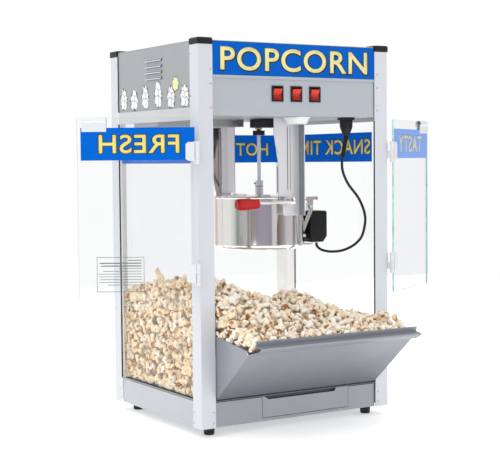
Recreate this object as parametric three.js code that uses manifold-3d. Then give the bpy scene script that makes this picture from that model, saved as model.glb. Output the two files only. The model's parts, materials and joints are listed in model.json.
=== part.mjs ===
// Countertop popcorn machine: four post cabinet, tilting kettle, two glass doors, chute and crumb drawer.
// Millimetres, +Z up. Inside this file a point is measured from the front left post's outer bottom corner:
// X to the right along the front, Y to the back, Z up. The group's own position moves that corner so that
// the origin is at the bottom centre of the whole machine with its doors and its chute open.
import * as THREE from "three";
import { mergeVertices } from "three/addons/utils/BufferGeometryUtils.js";
import { ConvexGeometry } from "three/addons/geometries/ConvexGeometry.js";
import ManifoldModule from "manifold-3d";

const wasm = await ManifoldModule();
wasm.setup();

// ---------------------------------------------------------------- driving dimensions
const WIDTH = 420, DEPTH = 355, POST_HEIGHT = 688; // cabinet over the posts
const POST = 30, POST_WALL = 2; // corner angles: two legs and nothing on the inner side
const FOOT_HEIGHT = 17;
const GAP = 0.3; // between pieces that rest against each other
const SHEET = 1.2;
const BASE_TOP = 46.7; // top edge of the base's sides
const GLASS_BOTTOM = 49.2, GLASS_TOP = 554.7, GLASS = 3;
const HEADER_BOTTOM = 562.3, HEADER_TOP = 694.6, SIGN_BOTTOM = 635;
const RAIL_BOTTOM = 555, RAIL_TOP = 577.7;
const SWITCH_Z = 603.4, SWITCH_X = [168.5, 210, 251.5];
const DRAWER = { left: 131.5, right: 325.5, bottom: 6.6, top: 46.2 };
const DOOR = { axisX: -6, axisY: -6, width: 212, bottom: 222, top: 558.5, glass: 4, open: 148 };
const HINGE_Z = [476, 260]; // bottom of the upper and the lower knuckle
const CHUTE = { left: 31.6, right: 388.4, hingeY: 1.5, hingeZ: 52.5 };
const KETTLE = { x: 226, y: 160, radius: 88.5, bottom: 309.4, rim: 411 };
const PIVOT_Z = 404.8, PIVOT_R = 7.4, HANDLE_Z = 401.8;
const FRONT_HANGER_Y = 55.3, REAR_HANGER_Y = 295.3;

const LOOKS = {
  aluminium: { color: 0xd3d6dc, roughness: 0.4, metalness: 0.6 },
  sheet: { color: 0xb3b8bd, roughness: 0.42, metalness: 0.5 },
  polished: { color: 0xd6d3cd, roughness: 0.12, metalness: 1 },
  satin: { color: 0xd9dadd, roughness: 0.35, metalness: 0.7 },
  black: { color: 0x1b1c1f, roughness: 0.5, metalness: 0 },
  rubber: { color: 0x131416, roughness: 0.8, metalness: 0 },
  red: { color: 0xc01f22, roughness: 0.35, metalness: 0 },
  lit_red: { color: 0xd8281f, roughness: 0.2, metalness: 0 },
  blue: { color: 0x1c5cc4, roughness: 0.3, metalness: 0 },
  frosted: { color: 0xeef0f0, roughness: 0.5, metalness: 0 },
  glass: { color: 0xe6f2ef, roughness: 0.03, metalness: 0, transparent: true, opacity: 0.25 },
  popcorn: { color: 0xf2e3b8, roughness: 0.9, metalness: 0 },
};
const material = (look) => new THREE.MeshStandardMaterial(LOOKS[look]);

// ---------------------------------------------------------------- shape helpers
const moved = (g, x, y, z) => g.translate(x, y, z);

function box(x0, x1, y0, y1, z0, z1) {
  return moved(new THREE.BoxGeometry(x1 - x0, y1 - y0, z1 - z0), (x0 + x1) / 2, (y0 + y1) / 2, (z0 + z1) / 2);
}

const outline = (points) => new THREE.Shape(points.map(([x, y]) => new THREE.Vector2(x, y)));

// A flat outline in X and Y, raised from z0 to z1.
function plateZ(points, z0, z1, holes = []) {
  const plate = moved(new THREE.ExtrudeGeometry(outline(points), { depth: z1 - z0, bevelEnabled: false }), 0, 0, z0);
  return holes.length ? cut(plate, ...holes.map((h) => plateZ(h, z0 - 1, z1 + 1))) : plate;
}

// A flat outline in X and Z, from y0 to y1.
function plateY(points, y0, y1, holes = []) {
  return moved(plateZ(points, 0, y1 - y0, holes).rotateX(Math.PI / 2), 0, y1, 0);
}

// A flat outline in Y and Z, from x0 to x1.
function plateX(points, x0, x1, holes = []) {
  const g = plateZ(points, 0, x1 - x0, holes);
  g.applyMatrix4(new THREE.Matrix4().set(0, 0, 1, x0, 1, 0, 0, 0, 0, 1, 0, 0, 0, 0, 0, 1));
  return g;
}

const rectangle = (a0, a1, b0, b1) => [[a0, b0], [a1, b0], [a1, b1], [a0, b1]];

// A turned solid about a vertical line. The profile runs from the axis at the bottom to the axis at the top.
function turned(x, y, profile, segments = 32) {
  const g = new THREE.LatheGeometry(profile.map(([r, z]) => new THREE.Vector2(r, z)), segments);
  return moved(g.rotateX(Math.PI / 2), x, y, 0);
}

const cylinderZ = (x, y, r, z0, z1, n = 24) => turned(x, y, [[0, z0], [r, z0], [r, z1], [0, z1]], n);

function cylinderY(x, z, r, y0, y1, n = 24) {
  return moved(new THREE.CylinderGeometry(r, r, y1 - y0, n), x, (y0 + y1) / 2, z);
}

function cylinderX(y, z, r, x0, x1, n = 24) {
  return moved(new THREE.CylinderGeometry(r, r, x1 - x0, n).rotateZ(Math.PI / 2), (x0 + x1) / 2, y, z);
}

const hull = (points) => new ConvexGeometry(points.map((p) => new THREE.Vector3(...p)));

function solid(geometry) {
  const plain = new THREE.BufferGeometry();
  const source = geometry.index ? geometry.toNonIndexed() : geometry;
  plain.setAttribute("position", source.getAttribute("position").clone());
  const merged = mergeVertices(plain, 1e-3);
  const made = new wasm.Manifold(new wasm.Mesh({
    numProp: 3,
    vertProperties: merged.attributes.position.array,
    triVerts: new Uint32Array(merged.index.array),
  }));
  return made;
}

function geometryOf(manifold) {
  const mesh = manifold.getMesh();
  const g = new THREE.BufferGeometry();
  const xyz = new Float32Array(mesh.numVert * 3);
  for (let i = 0; i < mesh.numVert; i++) {
    for (let k = 0; k < 3; k++) xyz[3 * i + k] = mesh.vertProperties[i * mesh.numProp + k];
  }
  g.setAttribute("position", new THREE.BufferAttribute(xyz, 3));
  g.setIndex(new THREE.BufferAttribute(new Uint32Array(mesh.triVerts), 1));
  const flat = g.toNonIndexed();
  flat.computeVertexNormals();
  return flat;
}

const fuse = (...parts) => geometryOf(parts.map(solid).reduce((a, b) => a.add(b)));
const cut = (body, ...tools) => geometryOf(tools.map(solid).reduce((a, b) => a.subtract(b), solid(body)));

const machine = new THREE.Group();
machine.position.set(-WIDTH / 2, -106.7, FOOT_HEIGHT);

function add(name, geometry, look, parent = machine) {
  const mesh = new THREE.Mesh(geometry, material(look));
  mesh.name = name;
  parent.add(mesh);
  return mesh;
}

const mirrored = (g) => { // to the other side of the cabinet's middle
  const m = (g.index ? g.toNonIndexed() : g).clone();
  const p = m.attributes.position;
  for (let i = 0; i < p.count; i += 3) {
    for (let k = 0; k < 3; k++) p.setX(i + k, WIDTH - p.getX(i + k));
    const [x, y, z] = [p.getX(i + 1), p.getY(i + 1), p.getZ(i + 1)];
    p.setXYZ(i + 1, p.getX(i + 2), p.getY(i + 2), p.getZ(i + 2));
    p.setXYZ(i + 2, x, y, z);
  }
  m.computeVertexNormals();
  return m;
};

// ---------------------------------------------------------------- posts, caps and feet
// A corner angle: its outer corner is rounded, and its two legs run towards the cabinet's middle.
function angleSection(x, y) {
  const r = 1.6, w = POST_WALL;
  const section = [[POST, 0], [POST, w], [w, w], [w, POST], [0, POST]];
  for (let a = 180; a <= 270; a += 22.5) {
    const t = THREE.MathUtils.degToRad(a);
    section.push([r + r * Math.cos(t), r + r * Math.sin(t)]);
  }
  return section.map(([u, v]) => [x ? WIDTH - u : u, y ? DEPTH - v : v]);
}

const CORNERS = {
  front_left: [0, 0], front_right: [WIDTH - POST, 0],
  back_left: [0, DEPTH - POST], back_right: [WIDTH - POST, DEPTH - POST],
};
for (const [corner, [x, y]] of Object.entries(CORNERS)) {
  add(`post_${corner}`, plateZ(angleSection(x, y), 0, POST_HEIGHT), "aluminium");

  const lip = 1.2, z = POST_HEIGHT + GAP, rise = 12; // the lip stands out on the two outer sides only
  const [l, r] = x ? [x - 0.1, x + POST + lip] : [-lip, POST + 0.1];
  const [f, b] = y ? [y - 0.1, y + POST + lip] : [-lip, POST + 0.1];
  const ring = (inset, h) => rectangle(l + inset, r - inset, f + inset, b - inset).map(([px, py]) => [px, py, h]);
  add(`cap_${corner}`, hull([...ring(0, z), ...ring(0, z + rise - 2), ...ring(2, z + rise)]), "black");

  const footX = x + (x ? -3 : 33), footY = y + (y ? -7 : 31);
  const foot = [[0, -FOOT_HEIGHT], [8.8, -FOOT_HEIGHT], [9.6, -FOOT_HEIGHT + 1.5], [10.4, -3], [10.4, -GAP], [0, -GAP]];
  add(`foot_${corner}`, turned(footX, footY, foot, 24), "rubber");
}

// A plan between the posts: a rectangle with its four corners cut away.
function betweenPosts(x0, y0, x1, y1, post = POST + 0.4) {
  const [l, r, f, b] = [post, WIDTH - post, post, DEPTH - post];
  return [[l, y0], [r, y0], [r, f], [x1, f], [x1, b], [r, b], [r, y1], [l, y1], [l, b], [x0, b], [x0, f], [l, f]];
}

// ---------------------------------------------------------------- base, floor and crumb drawer
const opening = { left: DRAWER.left - 1, right: DRAWER.right + 1, sill: 5.6 };
const frontSheet = [[30.4, 0], [389.6, 0], [389.6, BASE_TOP], [opening.right, BASE_TOP],
  [opening.right, opening.sill], [opening.left, opening.sill], [opening.left, BASE_TOP], [30.4, BASE_TOP]];
add("base_tray", fuse(
  plateZ(betweenPosts(3, 4, 417, 351), 0, 1.5),
  plateY(frontSheet, 4, 5.5),
  box(3, 4.5, 30.4, 324.6, 0, BASE_TOP),
  box(415.5, 417, 30.4, 324.6, 0, BASE_TOP),
  box(30.4, 389.6, 349.5, 351, 0, BASE_TOP),
  box(150, 158, 12, 250, 1, 6.2),
  box(298, 306, 12, 250, 1, 6.2),
), "sheet");

const crumbSlots = [];
for (let row = 0; row < 5; row++) {
  for (const x of [150, 232]) crumbSlots.push(rectangle(x, x + 70, 60 + row * 36, 68 + row * 36));
}
add("floor_pan", fuse(
  plateZ(betweenPosts(5, 2, 415, 349, 30.6), BASE_TOP + 0.5, BASE_TOP + 2, crumbSlots),
  box(31.6, 388.4, 1.9, 3.4, BASE_TOP + 0.5, 49.8),
), "sheet");

const drawerFront = [[DRAWER.left, DRAWER.bottom], [DRAWER.right, DRAWER.bottom], [DRAWER.right, DRAWER.top],
  [297, DRAWER.top], [295.5, 41.5], [293, 39.8], [145, 39.8], [135, DRAWER.top], [DRAWER.left, DRAWER.top]];
add("crumb_drawer", fuse(
  plateY(drawerFront, 3.6, 5),
  cut(box(134, 323, 4.5, 250, DRAWER.bottom, 36), box(135, 322, 5.5, 249, DRAWER.bottom + 1, 40)),
  box(140, 298, 4.5, 12, 34.6, 36), // floor and back of the finger recess
  box(140, 298, 11, 12, 34.6, 45.6),
), "sheet");

// ---------------------------------------------------------------- upper frame and header
const rail = () => fuse(box(1.4, 14, 30.4, 324.6, RAIL_BOTTOM, RAIL_TOP),
  box(2.4, 14, 2.4, 352.6, RAIL_BOTTOM, RAIL_TOP));
add("upper_rail_left", rail(), "aluminium");
add("upper_rail_right", mirrored(rail()), "aluminium");

add("sign_panel", box(30.8, 389.2, 1.6, 4.2, SIGN_BOTTOM, HEADER_TOP - 0.4), "blue");

const windows = SWITCH_X.map((x) => rectangle(x - 10.8, x + 10.8, SWITCH_Z - 13, SWITCH_Z + 13));
add("control_panel", fuse(
  plateY(rectangle(30.4, 389.6, HEADER_BOTTOM, SIGN_BOTTOM - 0.4), 3, 4.2, windows),
  box(30.8, 389.2, 0.6, 3.4, SIGN_BOTTOM - 5.4, SIGN_BOTTOM - 0.4),
), "sheet");

const sideSheet = [30.4, 324.6, RAIL_TOP + GAP, HEADER_TOP];
const louvreZ = [669.3, 658, 646.8, 635.6];
function headerSide() {
  const slots = louvreZ.map((z) => rectangle(139, 203, z - 1.6, z + 1.6));
  const sheet = plateX(rectangle(...sideSheet), 2, 3.2, slots);
  const hoods = louvreZ.map((z) => plateY([[2.6, z + 7.4], [-0.6, z + 2.4], [0.2, z + 1.9], [2.6, z + 2.4]], 138, 204));
  return fuse(sheet, ...hoods);
}
add("header_side_left", headerSide(), "sheet");
add("header_side_right", mirrored(headerSide()), "sheet");
add("header_back", box(30.4, 389.6, 350.8, 352, HEADER_BOTTOM, HEADER_TOP), "sheet");
add("header_top", plateZ(betweenPosts(2, 1.8, 418, 352, 31.6), HEADER_TOP + GAP, HEADER_TOP + 1.5), "sheet");

// The header's floor has a pressed well behind the motor, which shields the wiring from steam.
const well = { x0: 17, x1: 209, y0: 189, y1: 288, z: 548 };
const wellOutside = rectangle(well.x0, well.x1, well.y0, well.y1);
const wellInside = rectangle(well.x0 + 1, well.x1 - 1, well.y0 + 1, well.y1 - 1);
add("header_floor", fuse(
  plateZ(betweenPosts(14.4, 5, 405.6, 350.4), HEADER_BOTTOM, HEADER_BOTTOM + SHEET, [wellInside]),
  plateZ(wellOutside, well.z, HEADER_BOTTOM + 0.5, [wellInside]),
  plateZ(wellOutside, well.z, well.z + 1),
), "polished");

// ---------------------------------------------------------------- rocker switches
const BEZEL = { w: 12.5, h: 14.5 };
function bezel(x) {
  return cut(
    fuse(
      box(x - BEZEL.w, x + BEZEL.w, 0.7, 2.7, SWITCH_Z - BEZEL.h, SWITCH_Z + BEZEL.h),
      box(x - 10.4, x + 10.4, 2.5, 24, SWITCH_Z - 12.6, SWITCH_Z + 12.6),
    ),
    box(x - 9.1, x + 9.1, 0, 20, SWITCH_Z - 11.7, SWITCH_Z + 11.7),
  );
}
add("switch_bezels", fuse(...SWITCH_X.map(bezel), box(SWITCH_X[0], SWITCH_X[2], 20.5, 24, 598, 608)), "black");

const rockerSide = [[-1.2, 10.3], [2.2, 0], [-1.2, -10.3], [9.5, -8.2], [12.5, 0], [9.5, 8.2]];
["left", "middle", "right"].forEach((side, i) => {
  const rocker = plateX(rockerSide.map(([y, z]) => [y - 8, z]), SWITCH_X[i] - 8.7, SWITCH_X[i] + 8.7);
  rocker.rotateX(THREE.MathUtils.degToRad(7));
  add(`rocker_${side}`, moved(rocker, 0, 8, SWITCH_Z), "lit_red");
});

// ---------------------------------------------------------------- fixed glass
add("glass_left", box(10, 10 + GLASS, 4, 350, GLASS_BOTTOM, GLASS_TOP), "glass");
add("glass_right", box(407, 407 + GLASS, 4, 350, GLASS_BOTTOM, GLASS_TOP), "glass");
add("glass_back", box(14.5, 405.5, 338, 338 + GLASS, GLASS_BOTTOM, HEADER_BOTTOM - 0.4), "glass");

// ---------------------------------------------------------------- doors
// A door is drawn along its own X from the hinge axis, with its own Y towards the cabinet when it is shut.
function doorPieces() {
  const glass = box(7, DOOR.width, -2, 2, DOOR.bottom, DOOR.top);
  const clamps = HINGE_Z.map((z) => fuse(
    cylinderZ(0, 0, 4, z, z + 7.7, 16),
    cylinderZ(0, 0, 4, z + 21.3, z + 40, 16),
    box(0, 5, -2, 2, z, z + 7.7),
    box(0, 5, -2, 2, z + 21.3, z + 40),
    box(4.5, 6.7, -4.3, 4.3, z, z + 40),
    plateY([[6.5, z + 6], [16, z + 6], [20.5, z + 9], [20.5, z + 35], [16, z + 39], [6.5, z + 39]], 2.4, 4.3),
    plateY([[6.5, z + 6], [16, z + 6], [20.5, z + 9], [20.5, z + 35], [16, z + 39], [6.5, z + 39]], -4.3, -2.4),
  ));
  const pull = cut(
    fuse(
      cut(cylinderX(0, 554, 6.2, 160, 203.5, 20), cylinderX(0, 554, 5, 158, 205, 20)),
      box(160, 203.5, -3.8, 3.8, 534, 550),
      box(160, 203.5, -6.2, -3, 548, 553),
    ),
    box(158, 205, -2.4, 2.4, 530, 558.9),
  );
  return { glass, clamps, pull };
}

// The fixed half of a hinge: a plate on the post's outer side, an arm and the middle knuckle.
function hingeBracket(z) {
  const knuckle = cylinderZ(DOOR.axisX, DOOR.axisY, 4, z + 8, z + 21, 16);
  const arm = moved(box(2, 9.6, -1.2, 1.2, z + 8, z + 21).rotateZ(Math.PI / 3), DOOR.axisX, DOOR.axisY, 0);
  return fuse(knuckle, arm, box(-2, -GAP, 0.8, 15, z + 8, z + 38));
}

for (const side of ["left", "right"]) {
  const group = new THREE.Group();
  const right = side === "right";
  group.position.set(right ? WIDTH - DOOR.axisX : DOOR.axisX, DOOR.axisY, 0);
  group.rotation.z = THREE.MathUtils.degToRad(right ? 180 - DOOR.open : DOOR.open);
  machine.add(group);
  // The right door is the left one turned over, so its own Y points the other way.
  const own = (g) => (right ? moved(mirrored(g).rotateZ(Math.PI), WIDTH, 0, 0) : g);
  const { glass, clamps, pull } = doorPieces();
  add(`${side}_door_glass`, own(glass), "glass", group);
  add(`${side}_door_pull`, own(pull), "satin", group);
  add(`${side}_door_clamp_upper`, own(clamps[0]), "satin", group);
  add(`${side}_door_clamp_lower`, own(clamps[1]), "satin", group);
  HINGE_Z.forEach((z, i) => {
    const bracket = hingeBracket(z);
    add(`${side}_hinge_bracket_${i ? "lower" : "upper"}`, right ? mirrored(bracket) : bracket, "satin");
  });
}

// ---------------------------------------------------------------- chute
// A bent sheet: the points run from the hinge up the outside, and the sheet lies on their right.
function bentSheet(points, thickness) {
  const normals = points.slice(1).map(([y, z], i) => {
    const [dy, dz] = [y - points[i][0], z - points[i][1]];
    const length = Math.hypot(dy, dz);
    return [dz / length, -dy / length];
  });
  const inside = points.map(([y, z], i) => {
    const a = normals[Math.max(i - 1, 0)], b = normals[Math.min(i, normals.length - 1)];
    const scale = thickness / (1 + a[0] * b[0] + a[1] * b[1]);
    return [y + (a[0] + b[0]) * scale, z + (a[1] + b[1]) * scale];
  });
  return [...points, ...inside.reverse()];
}

const chuteSide = bentSheet([[0.2, 51.2], [-112, 146], [-130, 150], [-141.8, 157.2], [-142.8, 160.2],
  [-126.5, 162.6], [-128.6, 171]], SHEET);
const cheek = [[-2, 54.5], [-111, 146.6], [-105, 153], [0, 166], [33, 167], [10, 59]];
add("chute", fuse(
  cut(plateX(chuteSide, CHUTE.left, CHUTE.right), hull([
    [20, -160, 152.8], [38, -160, 152.8], [20, -112.4, 152.8], [38, -112.4, 152.8],
    [20, -160, 190], [38, -160, 190], [20, -112.4, 190], [38, -112.4, 190]])),
  plateX(cheek, CHUTE.left, CHUTE.left + SHEET),
  plateX(cheek, CHUTE.right - SHEET, CHUTE.right),
), "sheet");

// ---------------------------------------------------------------- kettle and what hangs it
const { x: KX, y: KY, radius: KR } = KETTLE;
const pot = turned(KX, KY, [
  [0, KETTLE.bottom], [KR - 9, KETTLE.bottom], [KR - 2.5, KETTLE.bottom + 2.6], [KR, KETTLE.bottom + 9],
  [KR, KETTLE.rim - 3.4], [KR + 1.6, KETTLE.rim - 2.6], [KR + 2, KETTLE.rim - 1], [KR + 1, KETTLE.rim],
  [KR - 1.4, KETTLE.rim], [KR - 1.4, KETTLE.bottom + 9.6], [KR - 3.6, KETTLE.bottom + 4],
  [KR - 9.6, KETTLE.bottom + 1.6], [0, KETTLE.bottom + 1.6],
], 56);

const strap = (points) => hull(points.flatMap(([x, z]) => [[x, 100, z], [x, 103, z]]));

function halfLid(x0, x1, z0, z1, r) {
  const points = [];
  const start = Math.acos((x0 - KX) / r), end = Math.acos((x1 - KX) / r);
  for (let i = 0; i <= 20; i++) {
    const t = start + ((end - start) * i) / 20;
    points.push([KX + r * Math.cos(t), KY + r * Math.sin(t)]);
  }
  for (let i = 20; i >= 0; i--) {
    const t = start + ((end - start) * i) / 20;
    points.push([KX + r * Math.cos(t), KY - r * Math.sin(t)]);
  }
  return plateZ(points, z0, z1);
}
const LID_SPLIT = KX - 11;
add("kettle", cut(fuse(
  pot,
  halfLid(LID_SPLIT, KX + KR - 1.2, KETTLE.rim - 0.6, KETTLE.rim + 0.8, KR - 0.9),
  cylinderY(KX, PIVOT_Z, PIVOT_R, KY + KR - 1.2, REAR_HANGER_Y + 6),
  cylinderY(KX, PIVOT_Z, 10, KY + KR - 1.2, KY + KR + 5),
  cylinderY(KX, PIVOT_Z, 10, KY - KR - 4, KY - KR + 1.2),
  box(297, 323, 98, 132, 403.2, 405), // ear, webs, foot and strap that carry the terminal box
  box(297, 323, 98, 99.6, 403.2, 409.5),
  box(318, 319.6, 116, 132, 382, 404),
  box(292, 322, 114, 146, 314.4, 316.2),
  strap([[284, 339], [289.5, 336], [313, 383], [306, 387]]),
  strap([[296, 404], [314, 404], [313, 383], [306, 386]]),
), cylinderZ(KX, KY, 4.6, KETTLE.rim - 4, KETTLE.rim + 4)), "polished");

add("kettle_lid_flap", fuse(
  halfLid(KX - KR + 1.2, LID_SPLIT - 1.6, KETTLE.rim + 0.3, KETTLE.rim + 1.5, KR - 0.9),
  cylinderY(LID_SPLIT - 2.2, KETTLE.rim + 2.2, 1.6, KY - 60, KY - 30, 12),
  cylinderY(LID_SPLIT - 2.2, KETTLE.rim + 2.2, 1.6, KY + 30, KY + 60, 12),
), "polished");

add("handle_rod", fuse(
  cylinderY(KX, PIVOT_Z, PIVOT_R, 40, KY - KR - 4.3),
  cylinderX(43.5, HANDLE_Z, 3.2, 147, KX, 16),
), "satin");
add("handle_grip", cut(
  moved(new THREE.LatheGeometry([[0, -48], [7.6, -48], [10.2, -46], [11.2, -42], [11, -28], [9.2, -4], [8.2, -1],
    [6, 0], [0, 0]].map(([r, x]) => new THREE.Vector2(r, x)), 24).rotateZ(-Math.PI / 2), 151.5, 43.5, HANDLE_Z - 2),
  cylinderX(43.5, HANDLE_Z, 3.5, 143, 160, 16),
), "red");

const tube = (y) => [cylinderY(KX, PIVOT_Z, PIVOT_R + GAP, y - 5, y + 8)];
const hangerGroove = (x, y) => box(x - 1.2, x + 1.2, y - 0.7, y + 0.5, 425, 545);
add("hanger_front", cut(
  fuse(
    plateY([[194, 561.9], [194, 530], [203.5, 474], [203.5, 412.6], [206, 397], [213, 396], [213, 380], [217, 376],
      [252, 376], [252, 561.9]], FRONT_HANGER_Y, FRONT_HANGER_Y + 1.5),
    box(250.5, 252, 37, FRONT_HANGER_Y + 1.5, 376, 561.9),
    box(203.5, 204.7, FRONT_HANGER_Y, 61, 420, 470),
  ),
  ...tube(FRONT_HANGER_Y),
  box(190, KX, 50, 60, PIVOT_Z - PIVOT_R - GAP, PIVOT_Z + PIVOT_R + GAP),
  hangerGroove(KX - 2, FRONT_HANGER_Y),
), "satin");
add("hanger_rear", cut(
  fuse(
    plateY([[180, 561.9], [180, 535], [206, 413], [208, 394], [217, 386], [235, 386], [243, 394], [242, 413],
      [236, 535], [236, 561.9]], REAR_HANGER_Y, REAR_HANGER_Y + 1.5),
    plateX(rectangle(268, REAR_HANGER_Y + 1.5, 415, 561.9), 234.5, 236),
  ),
  ...tube(REAR_HANGER_Y),
  hangerGroove(216, REAR_HANGER_Y),
), "polished");

add("motor_block", fuse(
  box(212, 262, 128, 171, 545.6, 561.9),
  cylinderZ(KX, KY, 6.8, 542.4, 546),
), "black");
add("drive_coupling", cut(
  fuse(cylinderZ(KX, KY, 4.2, 539, 542.1), cylinderZ(KX, KY, 11.8, 531, 540)),
  box(KX - 20, KX + 20, KY - 2.8, KY + 2.8, 525, 537),
), "black");
add("stirrer", fuse(
  cylinderZ(KX, KY, 3.6, 320.5, 530.4),
  box(KX - 3.4, KX + 3.4, KY - 2.3, KY + 2.3, 530, 536.6),
  cylinderZ(KX, KY, 7.8, 413.5, 441.8),
  box(KX - 72, KX + 72, KY - 4, KY + 4, 318.6, 321.2),
  box(KX - 62, KX - 58, KY - 3, KY + 3, 321, 334),
  box(KX + 30, KX + 34, KY - 3, KY + 3, 321, 334),
), "satin");

add("terminal_box", hull([
  ...rectangle(316, 355, 112, 148).map(([x, y]) => [x, y, 378]),
  ...rectangle(318, 353, 114, 146).map(([x, y]) => [x, y, 380.4]),
  ...rectangle(316, 355, 112, 148).map(([x, y]) => [x, y, 330]),
  ...rectangle(321, 348, 115, 145).map(([x, y]) => [x, y, 318]),
]), "black");

// ---------------------------------------------------------------- header outlet, plug, lead and lamp
const PLUG = { x: 353, y: 43 };
add("outlet_socket", turned(PLUG.x, PLUG.y, [[0, 558], [16, 558], [17, 559], [17, 562], [0, 562]], 28), "black");
const ringZ = (x, y, z, r) => Array.from({ length: 12 }, (_, i) => {
  const t = (i * Math.PI) / 6;
  return [x + r * Math.cos(t), y + r * Math.sin(t), z];
});
add("lead_plug", fuse(
  turned(PLUG.x, PLUG.y, [[0, 528], [6, 528], [8, 533], [11.4, 541], [12.6, 546], [12.6, 557.7], [0, 557.7]], 24),
  hull([...ringZ(PLUG.x, PLUG.y, 529, 5), ...ringZ(344.5, PLUG.y, 486, 3.8)]), // strain relief
), "black");

const leadRoute = [[343.9, 43, 485.6], [342.6, 43, 474], [343, 42, 462], [347, 41, 449], [356, 40, 433],
  [370, 39, 417], [380, 39, 405], [388, 39, 391], [395, 40, 374], [398, 43, 357], [398, 52, 333], [393, 61, 319],
  [383, 72, 308], [369, 84, 301], [356, 98, 299], [347, 109, 300.5], [341, 117, 304], [337.5, 122.5, 310],
  [337, 124, 316.4]].map((p) => new THREE.Vector3(...p));
const leadSection = new THREE.Shape();
leadSection.absellipse(0, 0, 2.6, 2.6, 0, 2 * Math.PI, false, 0);
add("kettle_lead", new THREE.ExtrudeGeometry(leadSection, {
  extrudePath: new THREE.CatmullRomCurve3(leadRoute, false, "centripetal"), steps: 76, curveSegments: 5, bevelEnabled: false,
}), "black");

add("lamp_lens", turned(227.5, 27, [[0, 548.6], [16, 548.6], [19.5, 550], [21.5, 554], [24, 559.5], [24, 561.9],
  [0, 561.9]], 28), "frosted");

// ---------------------------------------------------------------- popcorn
const bump = (x, y, cx, cy, sx, sy) => Math.exp(-((x - cx) ** 2) / (2 * sx * sx) - ((y - cy) ** 2) / (2 * sy * sy));

function popcornLevel(x, y) {
  const ripple = 3 * Math.sin(x / 17 + 1.3 * Math.sin(y / 23)) * Math.cos(y / 19);
  const hump = 74 * bump(x, y, 45, 70, 110, y < 70 ? 72 : 260);
  const middle = 30 * bump(x, y, 275, 95, 36, 60);
  const chuteRight = 10 * bump(x, y, 350, -30, 70, 40);
  const spill = y < 20 ? (20 - y) * 0.09 : 0;
  return 184 - 12 * THREE.MathUtils.smoothstep(x, 290, 360) + hump + middle + chuteRight + ripple - spill;
}

// A block of popcorn from x0 to x1 over the rows in y: floor(x, y) below and level(x, y) above.
function mound(x0, x1, nx, rows, floor, level) {
  const ny = rows.length - 1;
  const at = (i, j, f) => {
    const [x, y] = [x0 + ((x1 - x0) * i) / nx, rows[j]];
    return [x, y, f(x, y)];
  };
  const triangles = [];
  const quad = (a, b, c, d) => triangles.push(...a, ...b, ...c, ...a, ...c, ...d);
  for (let i = 0; i < nx; i++) {
    for (let j = 0; j < ny; j++) {
      quad(at(i, j, level), at(i + 1, j, level), at(i + 1, j + 1, level), at(i, j + 1, level));
      quad(at(i, j, floor), at(i, j + 1, floor), at(i + 1, j + 1, floor), at(i + 1, j, floor));
    }
  }
  for (let i = 0; i < nx; i++) {
    quad(at(i, 0, floor), at(i + 1, 0, floor), at(i + 1, 0, level), at(i, 0, level));
    quad(at(i + 1, ny, floor), at(i, ny, floor), at(i, ny, level), at(i + 1, ny, level));
  }
  for (let j = 0; j < ny; j++) {
    quad(at(0, j + 1, floor), at(0, j, floor), at(0, j, level), at(0, j + 1, level));
    quad(at(nx, j, floor), at(nx, j + 1, floor), at(nx, j + 1, level), at(nx, j, level));
  }
  const g = new THREE.BufferGeometry();
  g.setAttribute("position", new THREE.BufferAttribute(new Float32Array(triangles), 3));
  g.computeVertexNormals();
  return g;
}

const evenly = (a, b, n) => Array.from({ length: n + 1 }, (_, i) => a + ((b - a) * i) / n);
const PAN_TOP = BASE_TOP + 2;
add("popcorn_heap", cut(
  mound(14, 406, 22, evenly(26, 336, 16), () => PAN_TOP + GAP, popcornLevel),
  box(31, 33.5, 20, 120, 40, 300), // where the chute's cheeks swing in
  box(386.5, 389, 20, 120, 40, 300),
), "popcorn");
add("popcorn_in_chute", mound(36, 384, 20, [-124, -111, ...evenly(-98, 2, 8), 25.6],
  (x, y) => 54.8 + Math.min(Math.max(-y, 0), 111) * 0.846 + Math.max(-111 - y, 0) * 0.3, popcornLevel), "popcorn");

export default machine;
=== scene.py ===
"""Looks of the countertop popcorn machine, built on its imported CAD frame."""
import json
import math

import bmesh
import bpy
import numpy as np
from mathutils import Matrix, Vector


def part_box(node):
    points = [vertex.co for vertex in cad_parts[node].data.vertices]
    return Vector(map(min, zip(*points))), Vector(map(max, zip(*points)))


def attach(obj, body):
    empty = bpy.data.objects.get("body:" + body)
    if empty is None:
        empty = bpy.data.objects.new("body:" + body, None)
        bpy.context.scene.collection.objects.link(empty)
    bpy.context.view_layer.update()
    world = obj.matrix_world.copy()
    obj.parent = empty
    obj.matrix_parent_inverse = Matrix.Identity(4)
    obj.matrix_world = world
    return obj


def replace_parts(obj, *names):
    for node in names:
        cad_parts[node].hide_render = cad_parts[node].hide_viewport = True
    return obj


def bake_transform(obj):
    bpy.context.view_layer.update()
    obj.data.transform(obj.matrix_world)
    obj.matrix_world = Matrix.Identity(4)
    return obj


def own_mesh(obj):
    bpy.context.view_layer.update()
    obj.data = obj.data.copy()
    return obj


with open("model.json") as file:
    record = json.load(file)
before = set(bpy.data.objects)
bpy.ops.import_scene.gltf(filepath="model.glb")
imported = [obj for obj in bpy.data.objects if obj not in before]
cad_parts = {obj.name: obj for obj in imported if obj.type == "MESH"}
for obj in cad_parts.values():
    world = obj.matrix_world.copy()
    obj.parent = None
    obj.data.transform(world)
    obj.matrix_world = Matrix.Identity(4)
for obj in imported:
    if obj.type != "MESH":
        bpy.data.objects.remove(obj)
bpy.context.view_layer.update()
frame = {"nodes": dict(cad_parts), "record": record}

MM = 0.001
scene = bpy.context.scene
LEFT, RIGHT, FRONT, BACK, UP, DOWN = (-1, 0, 0), (1, 0, 0), (0, -1, 0), (0, 1, 0), (0, 0, 1), (0, 0, -1)

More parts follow.
